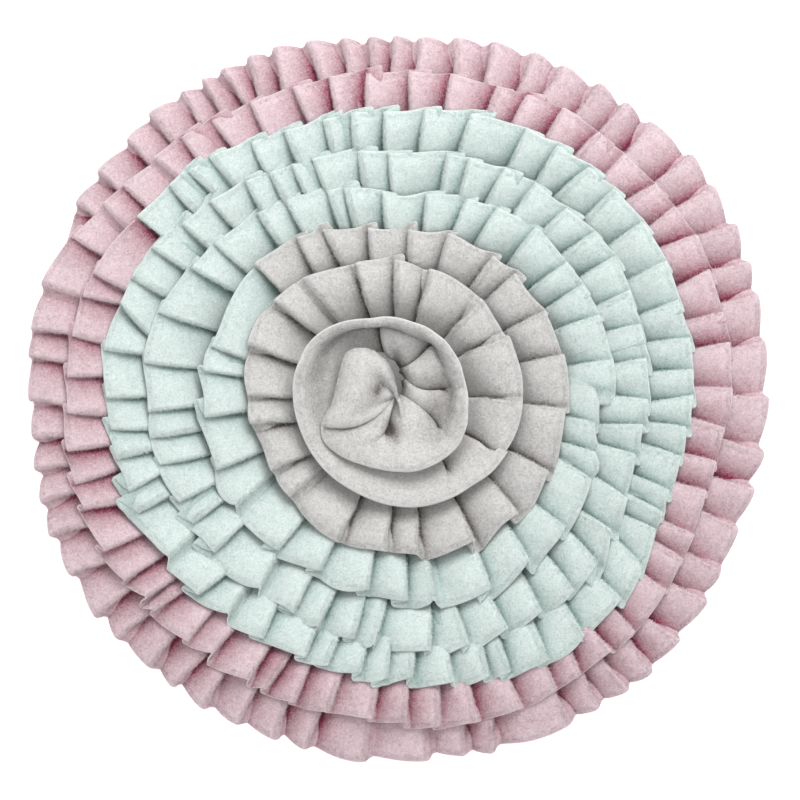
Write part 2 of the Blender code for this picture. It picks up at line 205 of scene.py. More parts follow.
# Creases that stand out from their neighbours; soft ones are bends, not folds
ACCENTS = (
    # turn, clock, open, wave, hook, tuck, slant, soft
    (0, 175.0, 1.0, 1.8, 0.0, 5.0, 0.0, 1),
    (0, 185.0, 1.0, 1.8, 0.0, 5.0, 0.0, 1),
    (0, 287.0, 1.0, 1.8, 0.0, 5.0, 0.0, 1),
    (1, 302.0, 1.0, 1.6, 0.0, 5.0, 3.0, 1),
    (1, 314.0, 1.0, 1.6, 0.0, 5.0, -1.0, 1),
    (1, 198.8, 0.5, 3.6, 2.0, 8.0, 0.0, 0),
    (1, 255.2, 0.1, 1.8, 3.0, 7.0, -1.0, 0),
    (1, 260.8, 0.1, 1.8, 3.4, 6.5, 0.0, 0),
    (1, 267.0, 0.2, 1.8, 2.6, 6.5, 1.0, 0),
    (1, 273.8, 0.1, 1.8, 3.4, 7.5, -1.5, 0),
    (2, 152.0, 0.1, 2.0, 6.5, 11.0, 1.5, 0),
    (2, 182.5, 0.1, 2.4, 6.0, 9.0, 0.0, 0),
    (2, 210.0, 0.2, 3.4, 4.0, 9.0, -2.5, 0),
    (2, 218.0, 0.9, 3.0, 2.0, 6.0, -2.0, 1),
    (2, 235.0, 1.0, 1.8, 1.0, 6.0, -3.0, 1),
    (2, 246.5, 0.0, 2.0, 8.5, 12.0, -2.0, 0),
    (2, 251.4, 0.0, 2.0, 6.0, 9.0, -3.0, 0),
    (2, 257.8, 0.1, 2.0, 4.0, 8.0, -1.0, 0),
    (2, 263.3, 0.1, 2.0, 3.6, 7.0, 1.5, 0),
    (2, 286.8, 0.5, 4.6, 1.0, 8.0, 8.0, 0),
    (3, 129.6, 0.0, 2.0, 6.5, 11.0, 2.0, 0),
    (3, 230.5, 0.1, 2.0, 7.0, 11.0, -2.0, 0),
    (3, 239.0, 0.2, 2.0, 6.0, 10.0, -2.5, 0),
    (3, 216.0, 0.9, 3.2, 3.0, 8.0, -3.0, 1),
    (3, 315.8, 0.2, 2.0, 6.0, 9.0, 0.0, 0),
    (4, 141.0, 0.6, 4.4, 6.0, 10.0, 1.5, 0),
    (4, 154.2, 0.3, 4.8, 6.5, 12.0, 1.0, 0),
    (4, 169.5, 0.9, 3.0, 2.0, 7.0, 0.0, 1),
    (4, 236.0, 1.0, 1.8, 1.0, 6.0, -4.0, 1),
    (4, 264.5, 0.1, 2.0, 6.0, 10.0, -2.0, 0),
    (5, 134.0, 0.35, 5.0, 4.0, 8.0, 2.0, 0),
    (5, 152.3, 0.5, 6.4, 5.0, 9.0, -1.0, 0),
    (5, 227.0, 1.0, 1.6, 0.0, 5.0, 0.0, 1),
    (6, 320.0, 1.0, 1.6, 0.0, 5.0, 0.0, 1),
    (6, 341.0, 0.7, 2.4, 1.0, 6.0, 0.0, 0),
    (6, 357.5, 0.3, 3.4, 4.6, 7.5, 0.0, 0),
)
ACCENT_REACH = 0.6

# The rosette's slope: at points along the spiral, how far inside the free
# edge and how high its surface lies at each of ACROSS_NODES
ACROSS_NODES = (0.0, 0.35, 0.62, 0.78, 0.88, 0.94, 1.0)
ROSETTE_SLOPES = (
    # turns, then inset and height at each node
    (6.45, 35, 6.5, 21, 16, 13, 23, 8, 27, 4.5, 29.4, 2.2, 30.5, 0, 31),
    (6.67, 34, 7, 21, 18, 13, 25.5, 8, 29, 4.5, 30.8, 2.2, 31.4, 0, 31.5),
    (6.83, 33, 9, 21, 20.5, 12.5, 27, 7.5, 30.3, 4.5, 32.4, 2.2, 33.6, 0, 34.2),
    (6.95, 33, 13, 21, 22, 13, 26.5, 8, 30.5, 5.6, 34, 3.6, 36.6, 0, 37.4),
    (7.10, 36, 20, 21, 24, 10.5, 26.5, 7, 29.8, 5.4, 34.2, 3.7, 37.2, 0, 38.2),
    (7.25, 35.5, 22, 20, 23.5, 10, 26.2, 6.8, 29.6, 5.3, 34, 3.6, 37.2, 0, 38.2),
    (7.42, 33.5, 22.5, 19.5, 24, 10, 26.8, 6.8, 30, 5.3, 34, 3.6, 37, 0, 38),
    (7.55, 36.5, 23.5, 21, 26, 11.5, 29.6, 7.4, 32.6, 5, 35, 2.8, 36.5, 0, 37),
    (7.67, 36.5, 24, 22, 28, 13.5, 32, 8.5, 34.2, 4.8, 35.3, 2.2, 35.6, 0, 35.6),
    (7.80, 41, 25, 25, 30, 14.5, 32.4, 9, 33.4, 5, 33.8, 2.5, 33.8, 0, 33.4),
    (7.86, 41, 26, 26, 31.5, 15, 33.6, 9, 34.4, 5, 34.4, 2.5, 33.8, 0, 32.8),
    (7.92, 33, 27, 21, 32.6, 12, 35, 7.5, 35.4, 4.5, 34.6, 2.2, 33.4, 0, 31.8),
)
# Where the rosette's folds meet in the middle: a slit that they follow round
PINCHES = (
    # turns, x, y
    (6.60, 0.0, 0.0),
    (6.95, 0.0, 6.0),
    (7.13, -2.6, 14.5),
    (7.27, 0.3, 14.0),
    (7.41, 1.5, 10.0),
    (7.53, -1.4, 1.3),
    (7.68, -2.8, 0.4),
    (7.86, -3.4, 0.3),
    (8.00, -2.9, 1.4),
    (8.15, -2.7, 3.0),
)
PINCH_TURNS = (6.6, 7.1)

# The rosette's creases: clock angle at the free edge, how much further round
# the crease starts in the middle, how close to the middle it bends, where
# across the strip it fades out, half its height, and the crown of the panel
# after it. Then, for the strip's end, the swing and how high above the last
# panel's middle it lies, as a share of that fold
ROSETTE_CREASES = (
    # turn, clock, swing, bend, fade from, fade to, fold, crown
    (6, 148.0, 0.0, 1.4, 0.45, 0.80, 1.8, 0.6),
    (7, 346.5, -15.0, 2.0, 0.62, 0.84, 2.2, 4.0),
    (7, 36.0, 20.0, 2.2, 0.56, 0.74, 2.4, 4.0),
    (7, 87.0, 55.0, 2.6, 0.46, 0.66, 2.2, 2.0),
    (7, 135.0, -22.0, 1.6, 0.48, 0.70, 2.2, 2.8),
    (7, 200.0, 0.0, 1.4, 0.38, 0.60, 2.2, 1.6),
    (7, 249.0, -36.0, 1.4, 0.88, 1.05, 1.7, 1.4),
)
ROSETTE_END_SWING = 8.0
ROSETTE_END_LEVEL = 0.4
# Hollows pressed into the rosette from its seventh turn on, with painted shade in them
DIMPLES = (
    # x, y, half length, half width, direction, depth
    (-4.2, -17.4, 6.4, 3.6, 158.0, 4.2),
    (-0.6, 12.0, 9.0, 3.4, 350.0, 6.8),
    (-11.6, 3.6, 5.4, 2.9, 25.0, 4.4),
    (18.0, -8.0, 13.0, 6.5, 15.0, 1.9),
)

# The cut strips: start and end are a turn and a clock angle, the slant is that
# of the start, in degrees, and the last is 1 if the start is a fold
STRIPS = (
    # node, start, end, colour, slant, fold
    ("pink_ruffle", (-1, 289.0), (2, 303.7), "pink", 0.0, 0),
    ("mint_ruffle", (2, 304.2), (4, 92.2), "mint", 1.0, 0),
    ("mint_ruffle_inner", (4, 86.7), (5, 311.6), "mint", 8.0, 0),
    ("grey_ruffle", (5, 312.0), (6, 119.4), "grey", 1.0, 0),
    ("grey_rosette", (6, 119.6), (8, 341.0), "grey", -3.0, 1),
)
# How far in or out of the spiral a strip's start or end lies, and where that
# ends: the pink strip's start comes out from under its own end, and the second
# mint strip's start leaves the first one's end showing behind it
START_SHIFTS = {
    # node: shift, turn, clock
    "pink_ruffle": (-11.0, 0, 300.0),
    "mint_ruffle_inner": (-5.0, 4, 110.0),
}
END_SHIFTS = {"mint_ruffle": (4.0, 4, 78.0)}
# How much of a strip's end lies hidden under the next strip's start: the end's
# painted valley shade is centred there, a painted shadow along the joint
END_COVERED = {"mint_ruffle": 8.4}
# Painted light on a strip's first panel: the second mint strip's start is made lighter
START_PAINTED_LIGHT = {"mint_ruffle_inner": -0.2}

# ---- How the fleece folds ----

# The sheet, the loops at a fold's two ends, and the points along a panel
FLEECE = 1.9
LOOP_RADIUS = 1.0
STACK = 2 * LOOP_RADIUS
LOOP_STEPS = 4
PANEL_STEP = 1.7
LEAST_PANEL_STEPS = 6
# How deep a fold's hidden layers run back: at most these shares of the pleat and
# the radius, or START_ROOM in a strip's first fold. Then where their points lie,
# and how much of the hook they, the loop and the panel have
TUCK_OF_PLEAT = 0.8
TUCK_OF_RADIUS = 0.14
LEAST_TUCK = 1.5 * LOOP_RADIUS
START_ROOM = 6.5
TUCK_PLACES = (0.3, 0.62)
HOOK_BELOW = (0.85, 1.0)
HOOK_AT_LOOP = 1.06
HOOK_ROUND_LOOP = 0.32
HOOK_BETWEEN = (0.56, 0.3)
HOOK_ON_PANEL = 0.8
HOOK_FROM = 0.35
# How a pleat opens towards the free edge, and what makes a soft one, with less
# painted valley shade
OPEN_FROM = 0.5
OPEN_EARLY = 0.09
RISE_WIDTH = 2.8
RISE_OF_OPEN = 2.2
RISE_REACH = 0.4
EASE_POWER = 1.2
SOFT_FADE = {"fade_from": -0.2, "fade_to": 0.4}
SOFT_WAVE = 1.5
SOFT_RISE = 6.5
SOFT_VALLEY = 0.6
# The form across the strip: where things start, and how strong they are
SWELL_WIDTH = 12.0
MID_PUFF = 0.25
PUFF_FROM = 0.2
EDGE_PRESS = 0.55
PRESS_FROM = 0.55
SLANT_PIVOT = 0.8
DROOP_FROM = 0.72
CROWN_LEAN = 0.9
CROWN_POWER = 1.5
REACH_POWER = 3
LEAST_RADIUS = 5.0
THIN_FROM = 0.82
THIN_EDGE = 0.5
RIM_ROUND = 0.3
RUFFLE_ROWS = (0.0, 0.14, 0.27, 0.38, 0.47, 0.55, 0.63, 0.71, 0.79, 0.86, 0.92, 0.97, 1.0)
ROSETTE_ROWS = (0.0, 0.08, 0.16, 0.24, 0.32, 0.40, 0.47, 0.53, 0.58, 0.63, 0.67, 0.71, 0.75,
                0.79, 0.82, 0.85, 0.88, 0.91, 0.94, 0.96, 0.98, 1.0)
# How uneven the pleats are: ranges for shares of the values in the tables and
# for values of their own, then standard deviations. Valley scales a pleat's
# painted valley shade
SEED = 5
UNEVEN = {
    "wave": (0.6, 1.3), "rise": (0.7, 1.4), "fold": (0.95, 1.25), "tuck": (0.7, 1.2),
    "hook": (0.45, 1.15), "swerve": (0.5, 1.5), "bulge": (0.2, 1.5),
    "saw": (0.0, 1.5), "droop": (-0.4, 0.35), "power": (1.1, 2.1), "swell": (0.0, 0.55),
    "valley": (0.65, 1.3), "open": (-0.35, 0.35),
}
SLANT_SPREAD = 1.2
REACH_SPREAD = 0.35
LIFT_SPREAD = 0.4
# Where the opening starts to differ less, and how steeply it does so up to 1
NEARLY_SHUT = 0.45
NEARLY_OPEN = 2.5
WOBBLES = (
    # wave length, height
    (47.0, 0.4), (29.0, 0.5), (17.0, 0.4), (9.0, 0.16),
)
WOBBLE_HEADINGS = 3
WOBBLE_RISE = 2.0
# The rosette's pleats: what all have in common, and the first one's values, as
# in ROSETTE_CREASES from the swing on
ROSETTE_PLEAT = {
    **dict.fromkeys(("slant", "hook", "swerve", "bulge", "saw", "reach", "lift", "droop",
                     "swell"), 0.0),
    "open": 1.0, "wave": 0.12, "rise": 5.0, "tuck": 3.6, "power": 1.6, "valley": 1.0,
}
ROSETTE_START = (0.0, 1.4, 0.55, 0.9, 1.8, 0.6)

# Painted shade on a panel, darker towards the next crease: the width and depth
# of the painted valley shade, the depth of its dark core, the painted fall over
# the whole panel, how much of the painted shade the free edge loses, and where
# across the strip the painted pale rim starts
VALLEYS = {
    "pink": (8.6, 0.60, 0.16, 0.24, 0.22, 0.80),
    "mint": (5.2, 0.48, 0.54, 0.17, 0.68, 0.94),
    "grey": (5.0, 0.54, 0.62, 0.18, 0.60, 0.94),
}
# How the painted shade spreads and fades where pleats open and towards the free edge; painted
# shade on a fold's hidden layers, lighter towards the hook and kept in its hollow; the painted
# highlight along the rim; and painted shade on the rosette's inner wall and in its hollows
VALLEY_POWER = 1.6
CORE_WIDTH = 2.4
FALL_POWER = 1.5
OPEN_LIGHT = 0.3
LIGHT_FROM = 0.45
FOLD_SHADE = 0.66
HOOK_LIGHT = 0.3
FOLD_HOLLOW = 0.7
RIM_PAINTED_LIGHT = -0.15
WALL_SHADE = 0.38
WALL_TURNS = (7.45, 7.62)
WALL_MIDDLE = 0.71
WALL_WIDTH = 0.15
DIMPLE_SHADE = 0.75
DIMPLE_FULL = 4.0
# How much of a column's nap shows
CREST_WIDTH = 1.6
CREST_SEEN = 1.5
HIDDEN_SEEN = 0.5

# The nap: one triangle for each fibre on the upper side, so many to a square
# millimetre on panels, and along creases and free edges. Then which rows have
# it, the fibres' size, how they stand, and their tone: a share of the sheet's
# painted shade, painted light on crest fibres, a random spread, darker roots
# and lighter tips
NAP_DENSITY = 1.6
NAP_AT_EDGES = 6.0
NAP_EDGE_ROWS = 0.93
NAP_FROM = 0.34
NAP_LEAST_TILT = -0.35
NAP_LIMIT = 195000
NAP_LENGTH = 1.15
NAP_LENGTHS = (0.5, 1.2)
NAP_AT_CREST = 0.8
NAP_WIDTH = 0.17
NAP_WIDTHS = (0.7, 1.2)
NAP_STAND = (0.35, 0.9)
NAP_LEAN = 0.75
NAP_OUTWARD = 0.25
NAP_OVER = 1.0
NAP_UPWARD = 0.6
NAP_ROUGH = 0.08
NAP_SHADE_SHARE = 0.85
CREST_PAINTED_LIGHT = 0.08
TONE_SPREAD = 0.06
ROOT_TONE = 0.04
TIP_TONE = -0.08

# The base cloth and its sewing: its rim's rounding, the shares of its radius
# that its rings lie at, and the waves in its outline
UNDERSIDE = 0.3
BASE_STEPS = 180
BASE_ROUND = (0.5, 0.2)
BASE_RINGS = (0.25, 0.5, 0.75, 0.96)
BASE_WAVES = (
    # waves round the rim, phase, share of the radius
    (5, 1.0, 0.002), (17, 0.0, 0.0008),
)
STITCH_PITCH = 6.0
STITCH_LENGTH = 4.2
STITCH_WIDTH = 0.9
STITCH_RISE = 0.28
RIM_SEAM_INSET = 4.0
SEAM_SPACING = 2.0
LEAST_SEAM_RADIUS = 4.0
TINY = 1e-9


def travel(turn, clock):
    """Degrees wound since the start of the first turn."""
    return 360.0 * turn + (clock - TURN_START) % 360.0


def smoothstep(low, high, values):
    share = np.clip((values - low) / (high - low), 0.0, 1.0)
    return share * share * (3.0 - 2.0 * share)


def catmull_rom(before, start, end, after, share):
    return start + 0.5 * share * (
        end - before
        + share * (2 * before - 5 * start + 4 * end - after
                   + share * (3 * (start - end) + after - before))
    )


def neighbours(place, count):
    """The four of so many nodes round a place, and how far it is past the second."""
    low = np.minimum(place.astype(int), count - 2)
    return (np.maximum(low - 1, 0), low, low + 1, np.minimum(low + 2, count - 1)), place - low


def unit(vectors):
    """The same vectors with length 1."""
    length = np.linalg.norm(vectors, axis=-1, keepdims=True)
    return vectors / np.maximum(length, TINY)


def polar(radius, swing, height):
    """Points by radius and by angle, in radians clockwise from +Y."""
    parts = np.broadcast_arrays(radius * np.sin(swing), radius * np.cos(swing), height)
    return np.stack(parts, axis=-1)


ALL_RADII = np.array([radius for row in EDGE_RADII for radius in row])
SLOPE_TABLE = np.array(SLOPES)
HABIT_TABLE = np.array(HABITS)
PINCH_TABLE = np.array(PINCHES)
ROSETTE_TURNS = np.array(ROSETTE_SLOPES)[:, 0]
ROSETTE_TABLE = np.array(ROSETTE_SLOPES)[:, 1:].reshape(-1, len(ACROSS_NODES), 2)


def edge_radius(angle):
    """Radius of the free edge at an array of angles."""
    place = np.clip(np.asarray(angle, float) / COLUMN_STEP, 0.0, len(ALL_RADII) - 1.0)
    around, share = neighbours(place, len(ALL_RADII))
    return catmull_rom(*(ALL_RADII[pick] for pick in around), share)


def table_at(table, angle):
    """Every column of a table by turns, at an array of angles."""
    turns = np.asarray(angle, float) / 360.0
    return [np.interp(turns, table[:, 0], column) for column in table.T[1:]]


# ---- Pleats ----


def accent(pleat):
    """Give a pleat the values of its row in ACCENTS, if it has one."""
    for turn, clock, openness, wave, hook, tuck, slant, soft in ACCENTS:
        if abs(travel(turn, clock) - pleat["angle"]) < ACCENT_REACH / 2:
            pleat.update(open=openness, wave=wave, hook=hook, tuck=tuck, slant=slant)
            if soft:
                pleat.update(SOFT_FADE, wave=max(wave, SOFT_WAVE), rise=SOFT_RISE,
                             valley=SOFT_VALLEY * pleat["valley"])


def strip_end(pleat, angle, **own):
    """The strip's cut end, as a last pleat that has no panel of its own."""
    return {**pleat, "angle": angle, "slant": 0.0, "wave": 0.0, "rise": 0.0, "hook": 0.0,
            "swerve": 0.0, "valley": 1.0, **own}


def ruffle_pleats(start, end, slant, rng):
    """A dict for each pleat of a ruffle, from the strip's start to its end."""

    def uneven(name, value=1.0):
        return value * rng.uniform(*UNEVEN[name])

    angles = sorted(travel(turn, clock) + past for turn, clock, row in CREASES for past in row)
    pleats = []
    for angle in [start] + [angle for angle in angles if start < angle < end]:
        openness, wave, hook, swerve, bulge, tuck = (
            float(value) for value in table_at(HABIT_TABLE, angle))
        freedom = min(1.0, NEARLY_OPEN * (1.0 - openness), openness / NEARLY_SHUT)
        early = OPEN_EARLY * openness ** 2
        pleats.append({
            "angle": angle, "swing": 0.0, "bend": 1.0, "crown": 0.0,
            "fade_from": OPEN_FROM - early, "fade_to": 1.0 - early,
            "slant": rng.gauss(0.0, SLANT_SPREAD) if pleats else slant,
            "open": min(1.0, max(0.0, openness + uneven("open", freedom))),
            "wave": uneven("wave", wave),
            "rise": uneven("rise", RISE_WIDTH + RISE_OF_OPEN * openness ** 2),
            "fold": uneven("fold", float(table_at(SLOPE_TABLE, angle)[3])),
            "tuck": uneven("tuck", tuck),
            "hook": uneven("hook", hook),
            "swerve": uneven("swerve", swerve),
            "bulge": uneven("bulge", bulge),
            "saw": uneven("saw"),
            "reach": rng.gauss(0.0, REACH_SPREAD),
            "lift": rng.gauss(0.0, LIFT_SPREAD),
            **{name: uneven(name) for name in ("droop", "power", "swell", "valley")},
        })
        accent(pleats[-1])
    return pleats + [strip_end(pleats[-1], end)]


def rosette_pleats(start, end, slant):
    rows = [(start, *ROSETTE_START)]
    rows += [(travel(turn, clock), *row) for turn, clock, *row in ROSETTE_CREASES]
    names = ("angle", "swing", "bend", "fade_from", "fade_to", "fold", "crown")
    pleats = [{**ROSETTE_PLEAT, **dict(zip(names, row))} for row in rows]
    pleats[0]["slant"] = slant
    last_fold = pleats[-1]["fold"]
    return pleats + [strip_end(pleats[-1], end, swing=ROSETTE_END_SWING, valley=0.0,
                               fold=-ROSETTE_END_LEVEL * last_fold)]


# Fields that run on from one pleat to the next
BLENDED = ("open", "fade_from", "fade_to", "swing", "bend", "slant", "reach", "lift", "droop")


def blend(first, second, share):
    return {name: first[name] + share * (second[name] - first[name]) for name in BLENDED}


def valley_shade(colour, distance, share):
    """Painted shade on a panel near the next crease, and by how far along it is."""
    width, depth, core, fall = VALLEYS[colour][:4]
    return (depth * math.exp(-((distance / width) ** VALLEY_POWER))
            + core * math.exp(-((distance / CORE_WIDTH) ** 2)) + fall * share ** FALL_POWER)


def fold_steps(fold, tuck):
    """Points round a fold: slide back from the crease, level, layer, share of the hook."""
    steps = [(place * tuck, -fold, 0.0, hook) for place, hook in zip(TUCK_PLACES, HOOK_BELOW)]
    swings = [math.pi * step / LOOP_STEPS for step in range(LOOP_STEPS + 1)]
    steps += [(tuck + LOOP_RADIUS * (math.sin(swing) - 1.0),
               -fold + LOOP_RADIUS * (1.0 - math.cos(swing)), 0.0,
               HOOK_AT_LOOP - HOOK_ROUND_LOOP * step / LOOP_STEPS)
              for step, swing in enumerate(swings)]
    steps += [(place * tuck, 0.0, 0.5, hook)
              for place, hook in zip(reversed(TUCK_PLACES), HOOK_BETWEEN)]
    steps += [(LOOP_RADIUS * (1.0 - math.sin(swing)),
               fold - STACK + LOOP_RADIUS * (1.0 - math.cos(swing)), 1.0, 0.0)
              for swing in swings[:-1]]
    return steps


def strip_columns(pleats, colour, fold_start, end_covered):
    """Arrays of the strip's columns: where each lies in its pleat, shut and open."""
    rows = []

    def add(row, **own):
        rows.append({"crown": 0.0, "hollow": 0.0, **row, **own})

    def add_fold(pleat, room, before, after):
        """The bottom loop, the layer between and the top loop, in winding order."""
        radius = float(edge_radius(pleat["angle"]))
        tuck = max(min(pleat["tuck"], TUCK_OF_RADIUS * radius, room), LEAST_TUCK)
        steps = fold_steps(pleat["fold"], tuck)
        for place, (slide, level, layer, hook_share) in enumerate(steps):
            done = (place + 1) / (len(steps) + 1)
            turned = math.cos(math.pi * done)
            row = blend(before, after, layer)
            row["reach"] += pleat["hook"] * hook_share
            on_top = layer == 1.0
            add(row, turn=pleat["angle"], slide=slide, level=level,
                open_slide=pleat["rise"] * (done - 0.5),
                open_level=-pleat["wave"] * turned,
                swerve=pleat["swerve"] * turned,
                # Painted shade on the fold's hidden layers, lighter towards the hook's end
                shade=0.0 if on_top else FOLD_SHADE - HOOK_LIGHT * hook_share,
                hollow=0.0 if on_top else FOLD_HOLLOW,
                seen=CREST_SEEN if on_top else HIDDEN_SEEN)

    if fold_start:
        add_fold(pleats[0], START_ROOM, pleats[0], pleats[0])
    for index, (pleat, following) in enumerate(zip(pleats, pleats[1:])):
        last = following is pleats[-1]
        radius = float(edge_radius(following["angle"]))
        width = math.radians(following["angle"] - pleat["angle"]) * radius
        count = max(LEAST_PANEL_STEPS, math.ceil(width / PANEL_STEP))
        swell = pleat["swell"] * min(1.0, width / SWELL_WIDTH)
        top, bottom = pleat["fold"], -following["fold"]
        for step in range(count + 1):
            share = step / count
            arch = math.sin(math.pi * share)
            ease = 0.5 - 0.5 * math.cos(math.pi * share ** EASE_POWER)
            hooked = max(0.0, (share - HOOK_FROM) / (1.0 - HOOK_FROM)) ** 2
            lead = max(0.0, 1.0 - share / RISE_REACH) ** 2 * pleat["rise"] / 2
            lag = (max(0.0, (share - (1.0 - RISE_REACH)) / RISE_REACH) ** 2
                   * following["rise"] / 2)
            to_end = (1.0 - share) * width
            if last:
                to_end = abs(to_end - end_covered)
            row = blend(pleat, following, share)
            row.update(
                reach=(pleat["reach"] + pleat["bulge"] * arch + pleat["saw"] * (0.5 - share)
                       + following["hook"] * HOOK_ON_PANEL * hooked),
                lift=pleat["lift"], droop=pleat["droop"])
            add(row, turn=pleat["angle"] + share * (following["angle"] - pleat["angle"]),
                slide=0.0,
                level=top + (bottom - top) * share ** pleat["power"] + swell * arch,
                open_slide=lead - lag,
                open_level=pleat["wave"] - (pleat["wave"] + following["wave"]) * ease,
                swerve=-pleat["swerve"] + (pleat["swerve"] + following["swerve"]) * ease,
                crown=pleat["crown"] * arch,
                # Painted shade darkening the panel towards the next crease, plus the start's
                # painted light
                shade=(pleat.get("tone", 0.0)
                       + following["valley"] * valley_shade(colour, to_end, share)),
                seen=CREST_SEEN if share * width < CREST_WIDTH else 1.0)
        if not last:
            ahead = pleats[index + 2]["angle"] - following["angle"]
            before = {**following, "reach": pleat["reach"] - 0.5 * pleat["saw"],
                      "lift": pleat["lift"], "droop": pleat["droop"]}
            after = {**following, "reach": following["reach"] + 0.5 * following["saw"]}
            add_fold(following, TUCK_OF_PLEAT * math.radians(ahead) * radius, before, after)
    return {name: np.array([row[name] for row in rows], float) for name in rows[0]}


# ---- Slopes across the strip ----


def ruffle_section(turn, across):
    """Radius and height of a ruffle's middle surface."""
    reach, middle, free, fold = table_at(SLOPE_TABLE, turn)
    bed = BASE_THICKNESS + SEAM_GAP
    stack = fold + FLEECE / 2
    sewn = bed + stack * np.cos(np.arctan2(middle - bed - stack, reach / 2))
    height = (sewn + across * (4 * middle - 3 * sewn - free)
              + 2 * across ** 2 * (sewn - 2 * middle + free))
    return edge_radius(turn) - reach * (1.0 - across), height


def rosette_section(turn, across):
    """Radius and height of the rosette's middle surface."""
    turns = turn / 360.0
    nodes = len(ACROSS_NODES)
    place = np.interp(across, ACROSS_NODES, np.arange(nodes)) + 0.0 * turn
    around, share = neighbours(place, nodes)
    values = []
    for part in range(2):
        layers = np.stack([np.interp(turns, ROSETTE_TURNS, ROSETTE_TABLE[:, node, part])
                           for node in range(nodes)])
        picked = [np.take_along_axis(layers, pick[None], axis=0)[0] for pick in around]
        values.append(catmull_rom(*picked, share))
    return edge_radius(turn) - values[0], values[1]


def strip_grid(columns, rows, colour, section, open_light, rng):
    """Middle surface as an array of column, row, xyz, and its painted shade."""
    across = np.array(rows)[None, :]
    col = {name: values[:, None] for name, values in columns.items()}
    opened = col["open"] * smoothstep(col["fade_from"], col["fade_to"], across)
    turn = (col["turn"] + col["slant"] * (across - SLANT_PIVOT)
            + col["swing"] * (1.0 - across) ** col["bend"])
    radius, _ = section(turn, across)
    puffed = np.clip((across - PUFF_FROM) / (1.0 - PUFF_FROM), 0.0, 1.0)
    puff = (1.0 + MID_PUFF * np.sin(math.pi * puffed)
            - EDGE_PRESS * smoothstep(PRESS_FROM, 1.0, across))
    slide = (1.0 - opened) * col["slide"] + opened * col["open_slide"]
    level = ((1.0 - opened) * col["level"] * puff + opened * col["open_level"]
             + col["crown"] * np.sin(math.pi * across ** CROWN_LEAN) ** CROWN_POWER)
    turn = turn + np.degrees(slide / np.maximum(radius, LEAST_RADIUS))
    radius, height = section(turn, across)
    slope = np.arctan2(np.gradient(height, axis=1), np.gradient(radius, axis=1))
    drooped = np.clip((across - DROOP_FROM) / (1.0 - DROOP_FROM), 0.0, 1.0) ** 2
    radius = (radius + (col["reach"] + col["swerve"] * opened) * across ** REACH_POWER
              - level * np.sin(slope))
    height = (height + col["lift"] * across - col["droop"] * drooped
              + level * np.cos(slope))
    points = polar(radius, np.radians(TURN_START + turn), height)
    points[..., 2] += wobble(points, rng) * np.clip(across * WOBBLE_RISE, 0.0, 1.0)
    # Painted shade fades where a pleat opens and towards the free edge, less so in a fold's
    # hollow; a painted highlight lies along the rim
    edge_light, rim_from = VALLEYS[colour][4:]
    lighter = edge_light * (1.0 - col["hollow"]) * smoothstep(LIGHT_FROM, 1.0, across)
    shade = col["shade"] * (1.0 - open_light * opened) * (1.0 - lighter)
    return points, np.clip(shade, 0.0, 1.0) + RIM_PAINTED_LIGHT * smoothstep(rim_from, 1.0, across)


def wobble(points, rng):
    """Low, smooth unevenness over the whole cloth, from a few slanted waves."""
    shift = np.zeros(points.shape[:-1])
    for size, height in WOBBLES:
        for _ in range(WOBBLE_HEADINGS):
            heading = rng.uniform(0.0, math.tau)
            phase = rng.uniform(0.0, math.tau)
            along = points[..., 0] * math.cos(heading) + points[..., 1] * math.sin(heading)
            shift += height * np.sin(math.tau * along / size + phase) / WOBBLE_HEADINGS
    return shift


def gather_rosette(points, shade, turn, rows):
    """Pull the folds' inner ends together and press the hollows in, in place, with painted
    shade on the inner wall and in the hollows.
    """
    turns = turn / 360.0
    across = np.array(rows)[None, :]
    inner = smoothstep(*PINCH_TURNS, turns)[:, None]
    for axis, pulled in enumerate(table_at(PINCH_TABLE, turn)):
        points[..., axis] += pulled[:, None] * (1.0 - across)
    # Painted shade on the rosette's inner wall, darkest part way across
    wall = inner * (1.0 - smoothstep(*WALL_TURNS, turns))[:, None]
    shade += WALL_SHADE * wall * np.exp(-(((across - WALL_MIDDLE) / WALL_WIDTH) ** 2))
    for x, y, length, width, direction, depth in DIMPLES:
        heading = math.radians(direction)
        east, north = points[..., 0] - x, points[..., 1] - y
        forward = (east * math.sin(heading) + north * math.cos(heading)) / length
        aside = (east * math.cos(heading) - north * math.sin(heading)) / width
        press = inner * np.exp(-forward ** 2 - aside ** 2)
        points[..., 2] -= depth * press
        # Painted shade in the hollow, darker where it is pressed deeper
        shade += DIMPLE_SHADE * press * depth / DIMPLE_FULL


# ---- Meshes ----


def new_object(name, data):
    obj = bpy.data.objects.new(name, data)
    bpy.context.scene.collection.objects.link(obj)
    return obj


def grid_normals(points):
    return unit(np.cross(np.gradient(points, axis=0), np.gradient(points, axis=1)))


def mesh_object(name, vertices, faces, shade=None):
    """Mesh from arrays of points in millimetres and faces of one size."""
    mesh = bpy.data.meshes.new(name)
    mesh.vertices.add(len(vertices))
    mesh.vertices.foreach_set("co", (np.asarray(vertices) * MM).astype(np.float32).ravel())
    sizes = np.concatenate([np.full(len(group), group.shape[1]) for group in faces])
    mesh.loops.add(int(sizes.sum()))
    corners = np.concatenate([group.ravel() for group in faces])
    mesh.loops.foreach_set("vertex_index", corners.astype(np.int32))
    mesh.polygons.add(len(sizes))
    starts = np.concatenate(([0], np.cumsum(sizes)[:-1]))
    mesh.polygons.foreach_set("loop_start", starts.astype(np.int32))
    mesh.update(calc_edges=True)
    mesh.shade_smooth()
    if shade is not None:
        layer = mesh.attributes.new("shade", "FLOAT", "POINT")
        layer.data.foreach_set("value", np.asarray(shade, np.float32).ravel())
    return new_object(name, mesh)


def half_thickness(rows):
    """Half the cloth's thickness across the strip: it thins towards its cut edge."""
    thin = smoothstep(THIN_FROM, 1.0, np.array(rows))
    return (FLEECE / 2 * (1.0 - (1.0 - THIN_EDGE) * thin))[None, :, None]


